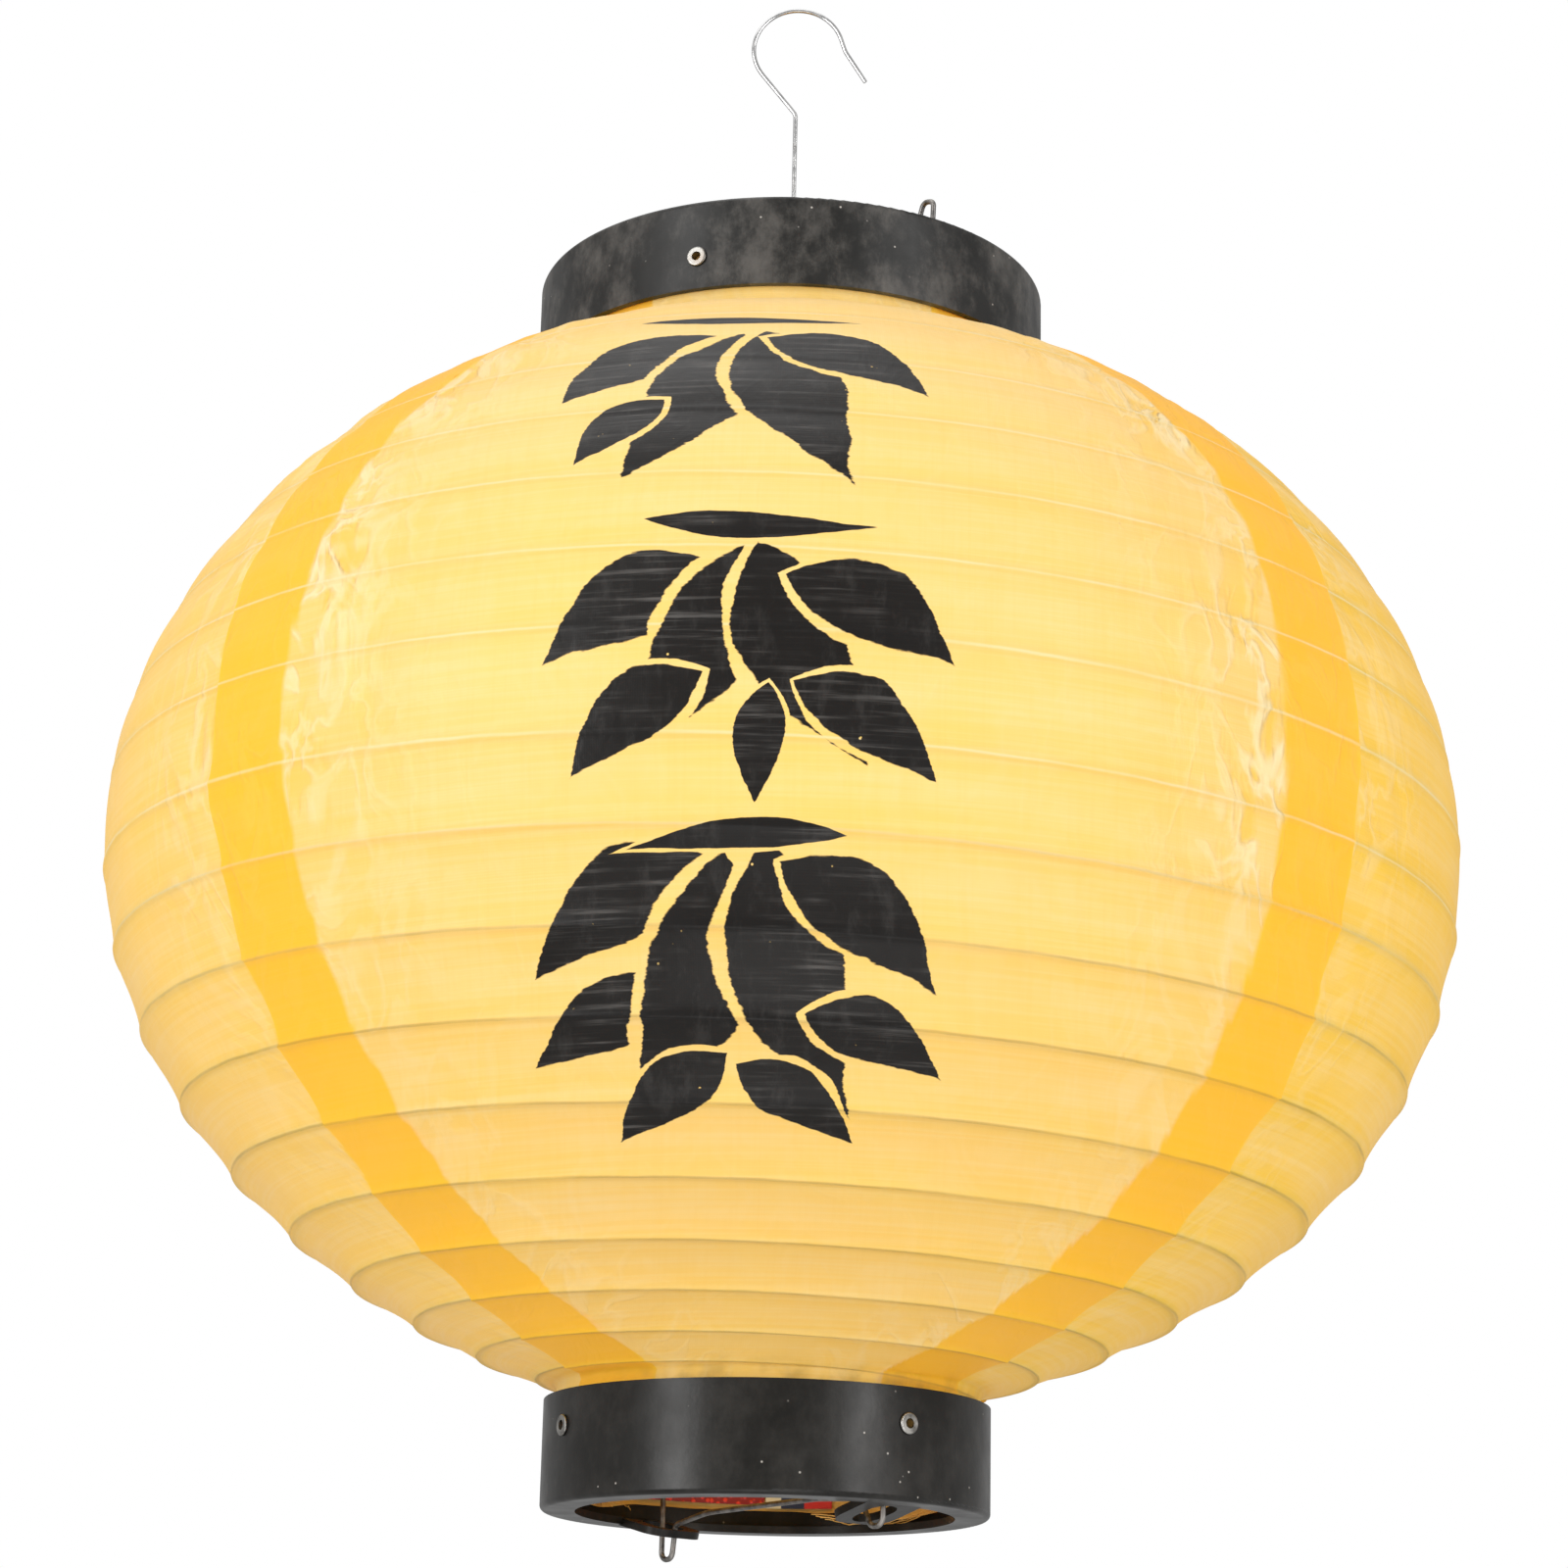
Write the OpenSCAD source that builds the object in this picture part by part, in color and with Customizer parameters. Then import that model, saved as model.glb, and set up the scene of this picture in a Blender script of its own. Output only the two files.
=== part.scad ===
// Accordion lantern: a bag of woven cloth on one spiral wire, between two plastic
// rings, held open by a wire stretcher and hung from a wire hook.
// Millimetres, +Z up, the printed side faces -Y. The origin is the inside of the
// hook's crown, where the lantern hangs.

/* [Body] */
// Largest radius of the cloth bag
body_r = 200; // [120:1:300]
// Height of the widest level below the hook
body_z = -288; // [-400:1:-200]
// Half height of the bag's upper half, if it closed to a point
body_up = 165; // [100:1:260]
// Half height of the bag's lower half, if it closed to a point
body_down = 161; // [100:1:260]
// Thickness of one layer of cloth
cloth_t = 0.5; // [0.3:0.1:1.5]
// Width over which two neighbouring panels lap
seam_lap = 31; // [10:1:50]

/* [Spiral] */
// Diameter of the spiral wire
rib_d = 1.2; // [0.8:0.1:3]
// Length of the end that is bent up to the turn above
rib_end = 9; // [3:1:20]
// Direction of that end, in degrees from the front toward the right
rib_end_az = 22; // [-60:1:60]

/* [Rings] */
// Outer radius of the top ring
top_ring_r = 78; // [50:1:120]
// Height of the top ring
top_ring_h = 28; // [15:1:60]
// Level of the top ring's upper face
top_ring_z = -102; // [-160:1:-60]
// Outer radius of the bottom ring
bottom_ring_r = 64; // [40:1:120]
// Height of the bottom ring
bottom_ring_h = 31; // [15:1:60]
// Level of the bottom ring's lower face
bottom_ring_z = -476; // [-700:1:-300]
// Wall thickness of both rings
ring_wall = 2.2; // [1.2:0.1:5]
// Width of the inward flange, wall included
flange_w = 10; // [5:0.5:20]
// Radius of the flange's rounded outer edge
ring_round = 1.5; // [0.5:0.1:2]

/* [Tabs] */
// Direction of the tabs, in degrees from the front toward the right
tab_az = 40; // [0:1:90]
// Width of a tab
tab_w = 20; // [12:1:30]
// Length of a tab beyond the flange
tab_l = 17.5; // [10:0.5:25]
// Bend of a tab away from the body, in degrees
tab_bend = 14; // [0:1:30]
// Length of the tab's slot, along the radius
slot_l = 14; // [8:0.5:16]
// Width of the tab's slot
slot_w = 9.5; // [6:0.5:14]

/* [Stretcher] */
// Diameter of the stretcher wire
frame_d = 1.6; // [1:0.1:4]
// Distance of the legs from the axis
leg_r = 48.45; // [30:0.05:60]
// How far the legs sit off centre, toward the front tab
leg_shift = 1.85; // [0:0.05:5]
// How far the kinks stand out beyond the rings
kink_out = 9; // [6:0.5:12]
// Level of the top crossbar where the hook hangs on it
bar_z = -124; // [-130:1:-108]

/* [Hook] */
// Diameter of the hook wire
hook_d = 1.4; // [1:0.1:4]
// Centre-line radius of the hook's arc
hook_r = 14.3; // [8:0.1:30]

/* [Eyelets] */
// Outer diameter of an eyelet's rim
eyelet_rim = 6; // [4:0.1:10]
// Diameter of an eyelet's hole
eyelet_hole = 2.8; // [1.5:0.1:6]
// Depth of the eyelets below the edge on the bag's side
eyelet_in = 10; // [5:0.5:20]

/* [Hidden] */
$fn = 96;

top_flange_r = top_ring_r - flange_w;
bottom_flange_r = bottom_ring_r - flange_w;
top_edge_z = top_ring_z - top_ring_h;
bottom_edge_z = bottom_ring_z + bottom_ring_h;
rib_r = rib_d / 2;
frame_r = frame_d / 2;
hook_w = hook_d / 2;
air = 0.45;
rib_off = cloth_t * 2 + 0.1 + air + rib_r;

// Radius and level of the bag at slope position t, moved inward by off.
function bag_r(t, off) = (body_r - off) * cos(t);
function bag_z(t, off) = body_z + ((t > 0 ? body_up : body_down) - off) * sin(t);
function side(j) = j % 2 == 0 ? -1 : 1;

// Slope position of each turn where it crosses the front, in degrees above the widest
// level. The turns are set by hand, about 24 mm apart along the cloth.
rib_levels = [61, 49, 37, 28, 19.5, 11.3, 3.5, -6.3, -14.2, -23, -31, -39, -46.5, -53.5,
              -60, -66.2, -71.6];
rib_halves = 2 * len(rib_levels) - 1;
rib_knots = concat([[0, 63]], [for (n = [0:len(rib_levels) - 1]) [2 * n + 0.5, rib_levels[n]]]);
// Slope position at each half turn of the spiral.
turns = [for (j = [0:rib_halves]) lookup(j, rib_knots)];

// Slope positions where the bag meets the rings' inner walls.
neck_top = acos((top_ring_r - ring_wall - 0.6) / body_r);
neck_bottom = -acos((bottom_ring_r - ring_wall - 0.6) / body_r);

function bag_line(off) = [for (i = [0:28])
    let (t = neck_top + (neck_bottom - neck_top) * i / 28)
    [bag_r(t, off), bag_z(t, off)]];

// Bends of a wire in the XZ plane: corners are [x, z, bend radius].
function flat(p) = [p[0], p[1]];
function heading(a, b) = atan2(b[1] - a[1], b[0] - a[0]);
function wrap(a) = a > 180 ? a - 360 : (a < -180 ? a + 360 : a);
function turn(a, b, c) = wrap(heading(b, c) - heading(a, b));
function cut_back(a, b, c) = b[2] * tan(abs(turn(a, b, c)) / 2);

// A straight stretch, a hair thinner than the bends, that ends just inside them.
module straight(a, b, start_cut, end_cut, r) {
    d = flat(b) - flat(a);
    h = norm(d);
    p = flat(a) + d * (start_cut - 0.1) / h;
    translate([p[0], 0, p[1]])
        rotate([0, atan2(d[0], d[1]), 0])
            cylinder(h = h - start_cut - end_cut + 0.2, r = r - 0.01, $fn = 24);
}

module bend(a, b, c, r) {
    t = turn(a, b, c);
    way = t > 0 ? 1 : -1;
    h = heading(a, b);
    back = cut_back(a, b, c);
    x = b[0] - cos(h) * back - sin(h) * way * b[2];
    z = b[1] - sin(h) * back + cos(h) * way * b[2];
    translate([x, 0, z])
        rotate([90, 0, 0])
            rotate([0, 0, way > 0 ? h - 90 : h + 90 + t])
                rotate_extrude(angle = abs(t))
                    translate([b[2], 0])
                        circle(r = r, $fn = 24);
}

// An open wire: its first and last points are plain ends.
module wire(points, r) {
    n = len(points) - 1;
    for (i = [0:n - 1]) {
        from_cut = i == 0 ? 0 : cut_back(points[i - 1], points[i], points[i + 1]);
        to_cut = i == n - 1 ? 0 : cut_back(points[i], points[i + 1], points[i + 2]);
        straight(points[i], points[i + 1], from_cut, to_cut, r);
    }
    for (i = [1:n - 1])
        bend(points[i - 1], points[i], points[i + 1], r);
}

// A closed wire loop.
module loop(points, r) {
    n = len(points);
    for (i = [0:n - 1]) {
        a = points[(i + n - 1) % n];
        b = points[i];
        c = points[(i + 1) % n];
        d = points[(i + 2) % n];
        straight(b, c, cut_back(a, b, c), cut_back(b, c, d), r);
        bend(a, b, c, r);
    }
}

// Turns children so that +X points along azimuth az, from the front toward the right.
module toward(az) {
    rotate([0, 0, az - 90])
        children();
}

// One ring, its flange on the level z = 0, its wall rising from it.
module ring(r, h) {
    inner = r - flange_w;
    rotate_extrude()
        union() {
            translate([r - ring_wall, ring_round])
                square([ring_wall, h - ring_round]);
            translate([inner, 0])
                square([flange_w - ring_round, ring_wall]);
            intersection() {
                translate([r - ring_round, ring_round])
                    circle(r = ring_round, $fn = 48);
                translate([r - ring_round, 0])
                    square([ring_round, ring_round]);
            }
            translate([r - ring_wall - 0.1, ring_round - 0.1])
                square([ring_wall - ring_round + 0.1, 0.9]);
        }
}

// One tab with its slot, bent downward out of the flange.
module tab(inner) {
    translate([inner + 0.8, 0, ring_wall])
        rotate([0, -tab_bend, 0])
            translate([0, 0, -ring_wall])
                difference() {
                    linear_extrude(height = ring_wall)
                        union() {
                            translate([-tab_l + 6, -tab_w / 2])
                                square([tab_l - 6, tab_w]);
                            translate([-tab_l, -tab_w / 2 + 6])
                                square([tab_l, tab_w - 12]);
                            for (s = [-1, 1])
                                translate([-tab_l + 6, s * (tab_w / 2 - 6)])
                                    circle(r = 6, $fn = 48);
                        }
                    translate([-tab_l + 1.8 + slot_w / 2, 0, -1])
                        linear_extrude(height = ring_wall + 2)
                            union() {
                                circle(r = slot_w / 2, $fn = 48);
                                translate([0, -slot_w / 2])
                                    square([slot_l - slot_w, slot_w]);
                                translate([slot_l - slot_w, 0])
                                    circle(r = slot_w / 2, $fn = 48);
                            }
                }
}

module ring_with_tabs(r, h, holes) {
    difference() {
        union() {
            ring(r, h);
            for (turn = [0, 180])
                toward(tab_az + turn)
                    tab(r - flange_w);
        }
        for (az = holes)
            toward(az)
                translate([r - ring_wall - 2, 0, h - eyelet_in])
                    rotate([0, 90, 0])
                        cylinder(h = ring_wall + 4, r = eyelet_hole / 2 + 0.6);
    }
}

top_holes = [-21, 99, 219];
bottom_holes = [-62, 37, 167];

// One eyelet, its axis along +X, its outer rim on the face at x = 0.
module eyelet(depth) {
    rotate([0, 90, 0])
        rotate_extrude()
            difference() {
                union() {
                    translate([eyelet_hole / 2, -depth])
                        square([0.55, depth]);
                    translate([eyelet_hole / 2, 0])
                        square([(eyelet_rim - eyelet_hole) / 2 - 0.4, 0.8]);
                    translate([eyelet_rim / 2 - 0.4, 0.4])
                        circle(r = 0.4, $fn = 32);
                    translate([eyelet_hole / 2, -depth - 0.5])
                        square([1.1, 0.5]);
                }
                translate([0, -depth - 1])
                    square([eyelet_hole / 2, depth + 3]);
            }
}

module top_ring() {
    color([0.16, 0.15, 0.15])
        translate([0, 0, top_ring_z])
            mirror([0, 0, 1])
                ring_with_tabs(top_ring_r, top_ring_h, top_holes);
}

module bottom_ring() {
    color([0.14, 0.14, 0.14])
        translate([0, 0, bottom_ring_z])
            ring_with_tabs(bottom_ring_r, bottom_ring_h, bottom_holes);
}

module top_eyelets() {
    color([0.70, 0.68, 0.64])
        for (az = top_holes)
            toward(az)
                translate([top_ring_r + 0.05, 0, top_edge_z + eyelet_in])
                    eyelet(ring_wall + 1.15);
}

module bottom_eyelets() {
    color([0.70, 0.68, 0.64])
        for (az = bottom_holes)
            toward(az)
                translate([bottom_ring_r + 0.05, 0, bottom_edge_z - eyelet_in])
                    eyelet(ring_wall + 1.15);
}

// The stretcher's two halves, each from the hook's seat to the bottom crossbar.
lo = bottom_ring_z;
hi = top_ring_z;
near_leg = leg_r + leg_shift;
far_leg = leg_r - leg_shift;
// The crossbar at the top, common to both halves.
top_half = [[4.5, bar_z, 3], [10, bar_z + 6, 4], [50, hi - 3.4, 6], [55.6, hi - 0.4, 2.5]];
near_half = concat(top_half, [
    [61.2, hi + kink_out + 4.6, 2], [65.6, hi + kink_out + 3.4, 2], [64.6, hi - 8, 4],
    [62.5, hi - 22, 10], [near_leg, hi - 62, 20], [near_leg, lo - kink_out + 3.6, 2.6],
    [near_leg - 5, lo - kink_out + 3.8, 2.4], [near_leg - 9.1, lo + 2.6, 4],
    [22, lo + 3.6, 30]]);
far_half = concat(top_half, [
    [60.6, hi + kink_out + 0.2, 2], [64.8, hi + kink_out - 0.4, 2], [64, hi - 8, 4],
    [61.5, hi - 22, 10], [far_leg, hi - 62, 20], [far_leg, lo - kink_out - 1, 2.3],
    [far_leg - 4.8, lo - kink_out - 0.8, 2.2], [far_leg - 6.2, lo - 0.1, 1.8],
    [26, lo + 2.6, 40]]);
frame_loop = concat(near_half, [for (i = [len(far_half) - 1:-1:0])
                                    [-far_half[i][0], far_half[i][1], far_half[i][2]]]);

module stretcher_frame() {
    color([0.45, 0.43, 0.40])
        toward(tab_az)
            loop(frame_loop, frame_r);
}

module hanging_hook() {
    arc_x = 0.5;
    arc_z = hook_w - hook_r;
    open_at = 18;
    close_at = 218;
    tip = [arc_x + hook_r * cos(open_at), arc_z + hook_r * sin(open_at)];
    foot = [arc_x + hook_r * cos(close_at), arc_z + hook_r * sin(close_at)];
    bend_z = foot[1] + foot[0] * cos(close_at) / sin(close_at);
    seat_r = frame_r + 0.2 + hook_w;
    color([0.72, 0.72, 0.72])
        union() {
            translate([arc_x, 0, arc_z])
                rotate([90, 0, 0])
                    rotate([0, 0, open_at])
                        rotate_extrude(angle = close_at - open_at)
                            translate([hook_r, 0])
                                circle(r = hook_w, $fn = 24);
            wire([tip, [tip[0] + 4.6 * sin(open_at), tip[1] - 4.6 * cos(open_at), 8], [22, -24]],
                 hook_w);
            wire([foot, [0, bend_z, 3], [0, bar_z + seat_r]], hook_w);
            toward(tab_az)
                translate([0, 0, bar_z])
                    rotate([0, 90, 0])
                        rotate_extrude()
                            translate([seat_r, 0])
                                circle(r = hook_w + 0.06, $fn = 24);
        }
}

// Half a turn of the spiral from its turning point j to the next one. Every second
// one is a hair thinner and ends just inside its neighbours.
module half_turn(j, sweep) {
    xa = side(j) * bag_r(turns[j], rib_off);
    za = bag_z(turns[j], rib_off);
    xb = side(j + 1) * bag_r(turns[j + 1], rib_off);
    zb = bag_z(turns[j + 1], rib_off);
    front = side(j) < 0;
    r = norm([xb - xa, zb - za]) / 2;
    tilt = atan2(za - zb, xb - xa);
    flip = front ? tilt : tilt - 180;
    lap = front ? 0 : 0.1;
    translate([(xa + xb) / 2, 0, (za + zb) / 2])
        rotate([0, flip, 0])
            rotate([0, 0, (front ? 180 : 0) - lap])
                rotate_extrude(angle = sweep + 2 * lap)
                    translate([r, 0])
                        circle(r = front ? rib_r : rib_r - 0.01, $fn = 16);
}

module spiral_rib() {
    last = rib_halves - 1;
    a = [bag_r(turns[last], rib_off), bag_z(turns[last], rib_off)];
    b = [bag_r(turns[last + 1], rib_off), bag_z(turns[last + 1], rib_off)];
    r = (a[0] + b[0]) / 2;
    x = (b[0] - a[0]) / 2 + r * sin(rib_end_az);
    y = -r * cos(rib_end_az);
    z = (a[1] + b[1]) / 2 - (a[1] - b[1]) / 2 * sin(rib_end_az);
    color([0.40, 0.40, 0.36])
        union() {
            for (j = [0:last - 1])
                half_turn(j, 180);
            half_turn(last, 90 + rib_end_az);
            translate([x, y, z]) {
                sphere(r = rib_r + 0.03, $fn = 24);
                cylinder(h = rib_end, r = rib_r * 0.9, $fn = 24);
            }
        }
}

// A whole layer of the bag, its outer face moved inward by off.
module bag_layer(off) {
    outer = bag_line(off);
    inner = bag_line(off + cloth_t);
    n = len(outer) - 1;
    rotate_extrude()
        polygon(concat(
            [[outer[0][0], top_edge_z + 3]], outer, [[outer[n][0], bottom_edge_z - 3]],
            [[inner[n][0], bottom_edge_z - 3]],
            [for (i = [0:n]) inner[n - i]], [[inner[0][0], top_edge_z + 3]]));
}

// The part of a layer that one panel covers, out to its laps on both sides.
module panel(az, off) {
    big = body_r + 50;
    intersection() {
        bag_layer(off);
        for_both(az, big);
    }
}

module for_both(az, big) {
    intersection() {
        toward(az + 45)
            translate([-big, seam_lap / 2 - 2 * big, body_z - big])
                cube([2 * big, 2 * big, 2 * big]);
        toward(az - 45)
            translate([-big, -seam_lap / 2, body_z - big])
                cube([2 * big, 2 * big, 2 * big]);
    }
}

module front_panel() {
    color([0.97, 0.80, 0.36])
        panel(0, 0);
}

module right_panel() {
    color([0.95, 0.76, 0.32])
        panel(90, cloth_t + 0.1);
}

module back_panel() {
    color([0.97, 0.80, 0.36])
        panel(180, 0);
}

module left_panel() {
    color([0.95, 0.76, 0.32])
        panel(270, cloth_t + 0.1);
}

// A band of cloth inside a ring's wall, with holes for the eyelets.
module hem(r, z_low, h, eyelet_z, holes) {
    difference() {
        translate([0, 0, z_low])
            rotate_extrude()
                translate([r, 0])
                    square([cloth_t, h]);
        for (az = holes)
            toward(az)
                translate([r - 3, 0, eyelet_z])
                    rotate([0, 90, 0])
                        cylinder(h = 6, r = eyelet_hole / 2 + 0.6);
    }
}

module top_hem() {
    color([0.90, 0.72, 0.30])
        hem(top_ring_r - ring_wall - cloth_t - 0.1, top_edge_z + 4, 15,
            top_edge_z + eyelet_in, top_holes);
}

module bottom_hem() {
    color([0.90, 0.72, 0.30])
        hem(bottom_ring_r - ring_wall - cloth_t - 0.1, bottom_edge_z - 22, 18,
            bottom_edge_z - eyelet_in, bottom_holes);
}

// A strip inside the bottom hem between two azimuths.
module hem_strip(az, span, z_low, h, t) {
    r = bottom_ring_r - ring_wall - cloth_t - 0.25 - t;
    toward(az - span / 2)
        translate([0, 0, z_low])
            rotate_extrude(angle = span)
                translate([r, 0])
                    square([t, h]);
}

module red_tape() {
    color([0.80, 0.10, 0.08])
        hem_strip(200, 39.6, bottom_edge_z - 22, 8, 0.4);
}

module paper_label() {
    color([0.86, 0.82, 0.66])
        hem_strip(170.3, 19, bottom_edge_z - 23, 8, 0.4);
}

hanging_hook();
top_ring();
top_eyelets();
stretcher_frame();
spiral_rib();
front_panel();
right_panel();
back_panel();
left_panel();
top_hem();
bottom_ring();
bottom_eyelets();
bottom_hem();
red_tape();
paper_label();
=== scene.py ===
"""Accordion lantern: a bag of woven cloth on a spiral wire between two plastic rings."""

import math

import bpy
import numpy as np
from mathutils import Matrix, Vector


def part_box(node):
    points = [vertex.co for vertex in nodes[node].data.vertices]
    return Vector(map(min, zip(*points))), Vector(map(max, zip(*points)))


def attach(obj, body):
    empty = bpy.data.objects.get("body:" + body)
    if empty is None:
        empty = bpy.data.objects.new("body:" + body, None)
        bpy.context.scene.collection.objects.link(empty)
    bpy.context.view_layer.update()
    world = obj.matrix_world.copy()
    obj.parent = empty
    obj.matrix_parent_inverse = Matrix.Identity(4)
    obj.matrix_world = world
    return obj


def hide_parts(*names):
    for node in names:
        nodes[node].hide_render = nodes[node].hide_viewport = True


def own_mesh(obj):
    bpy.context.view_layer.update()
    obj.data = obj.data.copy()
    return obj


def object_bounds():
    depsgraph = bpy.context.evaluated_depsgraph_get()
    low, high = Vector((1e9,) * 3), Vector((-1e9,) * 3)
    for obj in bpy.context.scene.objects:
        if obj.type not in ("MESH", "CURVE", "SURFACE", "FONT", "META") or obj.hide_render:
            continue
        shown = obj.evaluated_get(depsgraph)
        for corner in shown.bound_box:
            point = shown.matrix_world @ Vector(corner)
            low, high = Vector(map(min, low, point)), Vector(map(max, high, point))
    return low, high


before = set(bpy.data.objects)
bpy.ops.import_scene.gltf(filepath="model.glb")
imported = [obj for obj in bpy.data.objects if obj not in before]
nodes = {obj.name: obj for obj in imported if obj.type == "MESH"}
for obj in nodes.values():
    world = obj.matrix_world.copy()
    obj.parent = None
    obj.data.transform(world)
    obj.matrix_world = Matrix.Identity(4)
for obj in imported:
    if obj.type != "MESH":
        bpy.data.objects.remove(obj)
cad_low, cad_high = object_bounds()

# ---------------------------------------------------------------- the bag's design
MM = 0.001
# outline of the bag: largest radius, its level, and the half heights above and below that level
BODY_R, BODY_Z, BODY_UP, BODY_DOWN = 0.200, -0.288, 0.165, 0.161
CLOTH_STEP = 0.0006  # from the outer layer's face to the inner layer's
SEAM_LAP = 0.031
RIB_R = 0.0006  # radius of the spiral wire
TOP_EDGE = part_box("top_ring")[0].z
BOTTOM_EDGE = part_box("bottom_ring")[1].z
NECK_TOP_R, NECK_BOTTOM_R = 0.0752, 0.0612
T_TOP = math.degrees(math.acos(NECK_TOP_R / BODY_R))
T_BOTTOM = -math.degrees(math.acos(NECK_BOTTOM_R / BODY_R))
# slope of each turn of the wire where it crosses the front, in degrees above the widest level
RIB_LEVELS = [61, 49, 37, 28, 19.5, 11.3, 3.5, -6.3, -14.2, -23, -31, -39, -46.5, -53.5,
              -60, -66.2, -71.6]
# the same as a curve: half turns from the coil's start, and the slope at each
KNOTS_H = [-4, 0] + [2 * n + 0.5 for n in range(len(RIB_LEVELS))] + [37]
KNOTS_T = [87, 63] + RIB_LEVELS + [-84]
RIB_END_AZ = 22  # where the wire's free end is, in degrees from the front
PITCH = 0.024  # usual distance along the cloth from turn to turn
BOW = (0.85, -0.22, 9.31, -4.38)  # how far the axis bows to the right, as a cubic in millimetres


def level_at(h):
    """Slope position in degrees at half turn h of the wire."""
    return np.interp(h, KNOTS_H, KNOTS_T)


def start_of_turn(az):
    """Half turns from the coil's start to azimuth az on turn 0; az is in degrees from the front."""
    s = np.sin(np.radians(az))
    return np.where(az > 90, 1 + (1 - s) / 2, np.where(az < -90, (1 - s) / 2 - 1, (1 + s) / 2))


# length along the cloth from the widest level, tabulated over the slope
SLOPES = np.linspace(90, -90, 3601)
outline = np.stack([BODY_R * np.cos(np.radians(SLOPES)),
                    np.where(SLOPES > 0, BODY_UP, BODY_DOWN) * np.sin(np.radians(SLOPES))], -1)
from_top = np.concatenate([[0], np.cumsum(np.linalg.norm(np.diff(outline, axis=0), axis=1))])
ARC = from_top[len(SLOPES) // 2] - from_top


def height_on_cloth(t):
    """Length along the cloth from the widest level up to slope t."""
    return np.interp(-t, -SLOPES, ARC)


def lean(z):
    """The hanging bag's axis bows a few millimetres to the right."""
    s = np.clip((z - BOTTOM_EDGE) / (TOP_EDGE - BOTTOM_EDGE), 0, 1)
    q = 2 * s - 1
    return 4 * s * (1 - s) * (BOW[0] + BOW[1] * q + BOW[2] * q**2 + BOW[3] * q**3) * MM


def on_bag(az, h, off):
    """Point and outward normal at azimuth az and half turn h, off inward of the bag."""
    t = level_at(h)
    c = np.radians(np.clip(t, T_BOTTOM, T_TOP))
    high = np.where(t > 0, BODY_UP, BODY_DOWN)
    nr, nz = high * np.cos(c), BODY_R * np.sin(c)
    long = np.hypot(nr, nz)
    nr, nz = nr / long, nz / long
    r = BODY_R * np.cos(c)
    z = BODY_Z + high * np.sin(c)
    past = np.where(t > T_TOP, t - T_TOP, np.where(t < T_BOTTOM, t - T_BOTTOM, 0)) * 0.0034
    z = z + past
    straight = np.clip(np.abs(past) / 0.003, 0, 1)
    nr, nz = nr + (1 - nr) * straight, nz * (1 - straight)
    a = np.radians(az)
    out = np.stack([np.sin(a) * nr, -np.cos(a) * nr, nz], -1)
    point = np.stack([np.sin(a) * r, -np.cos(a) * r, z], -1) - out * np.asarray(off)[..., None]
    point[..., 0] += lean(z)
    return point, out, t, r


def smooth(x, low, high):
    k = np.clip((x - low) / (high - low), 0, 1)
    return k * k * (3 - 2 * k)


def noise(u, v, cell_u, cell_v, seed):
    """Smooth random field from -1 to 1 over u, v with cells of the given sizes."""
    grid = np.random.default_rng(seed).uniform(-1, 1, (64, 64))
    x, y = u / cell_u, v / cell_v
    i, j = np.floor(x).astype(int), np.floor(y).astype(int)
    fx, fy = x - i, y - j
    fx, fy = fx * fx * (3 - 2 * fx), fy * fy * (3 - 2 * fy)

    def at(a, b):
        return grid[a % 64, b % 64]

    low = at(i, j) * (1 - fx) + at(i + 1, j) * fx
    high = at(i, j + 1) * (1 - fx) + at(i + 1, j + 1) * fx
    return low * (1 - fy) + high * fy


def grid_object(name, points, keep=None, closed=False, attributes=None, uv=None):
    """A sheet of quads over rows x columns of points."""
    rows, cols = points.shape[:2]
    n = np.arange(rows * cols).reshape(rows, cols)
    right = np.roll(n, -1, 1) if closed else n[:, 1:]
    left = n if closed else n[:, :-1]
    quads = np.stack([left[:-1], left[1:], right[1:], right[:-1]], -1).reshape(-1, 4)
    if keep is not None:
        quads = quads[keep.reshape(-1)[quads].all(1)]
    used = np.unique(quads)
    place = np.full(rows * cols, -1)
    place[used] = np.arange(len(used))
    mesh = bpy.data.meshes.new(name)
    mesh.from_pydata(points.reshape(-1, 3)[used].tolist(), [], place[quads].tolist())
    for key, values in (attributes or {}).items():
        layer = mesh.attributes.new(key, "FLOAT", "POINT")
        layer.data.foreach_set("value", values.reshape(-1)[used].astype(np.float32))
    if uv is not None:
        layer = mesh.uv_layers.new(name="cloth")
        flat = uv.reshape(-1, 2)[used]
        corner = np.zeros(len(mesh.loops), np.int32)
        mesh.loops.foreach_get("vertex_index", corner)
        layer.data.foreach_set("uv", flat[corner].astype(np.float32).ravel())
    mesh.shade_smooth()
    made = bpy.data.objects.new(name, mesh)
    bpy.context.scene.collection.objects.link(made)
    return made


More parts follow.
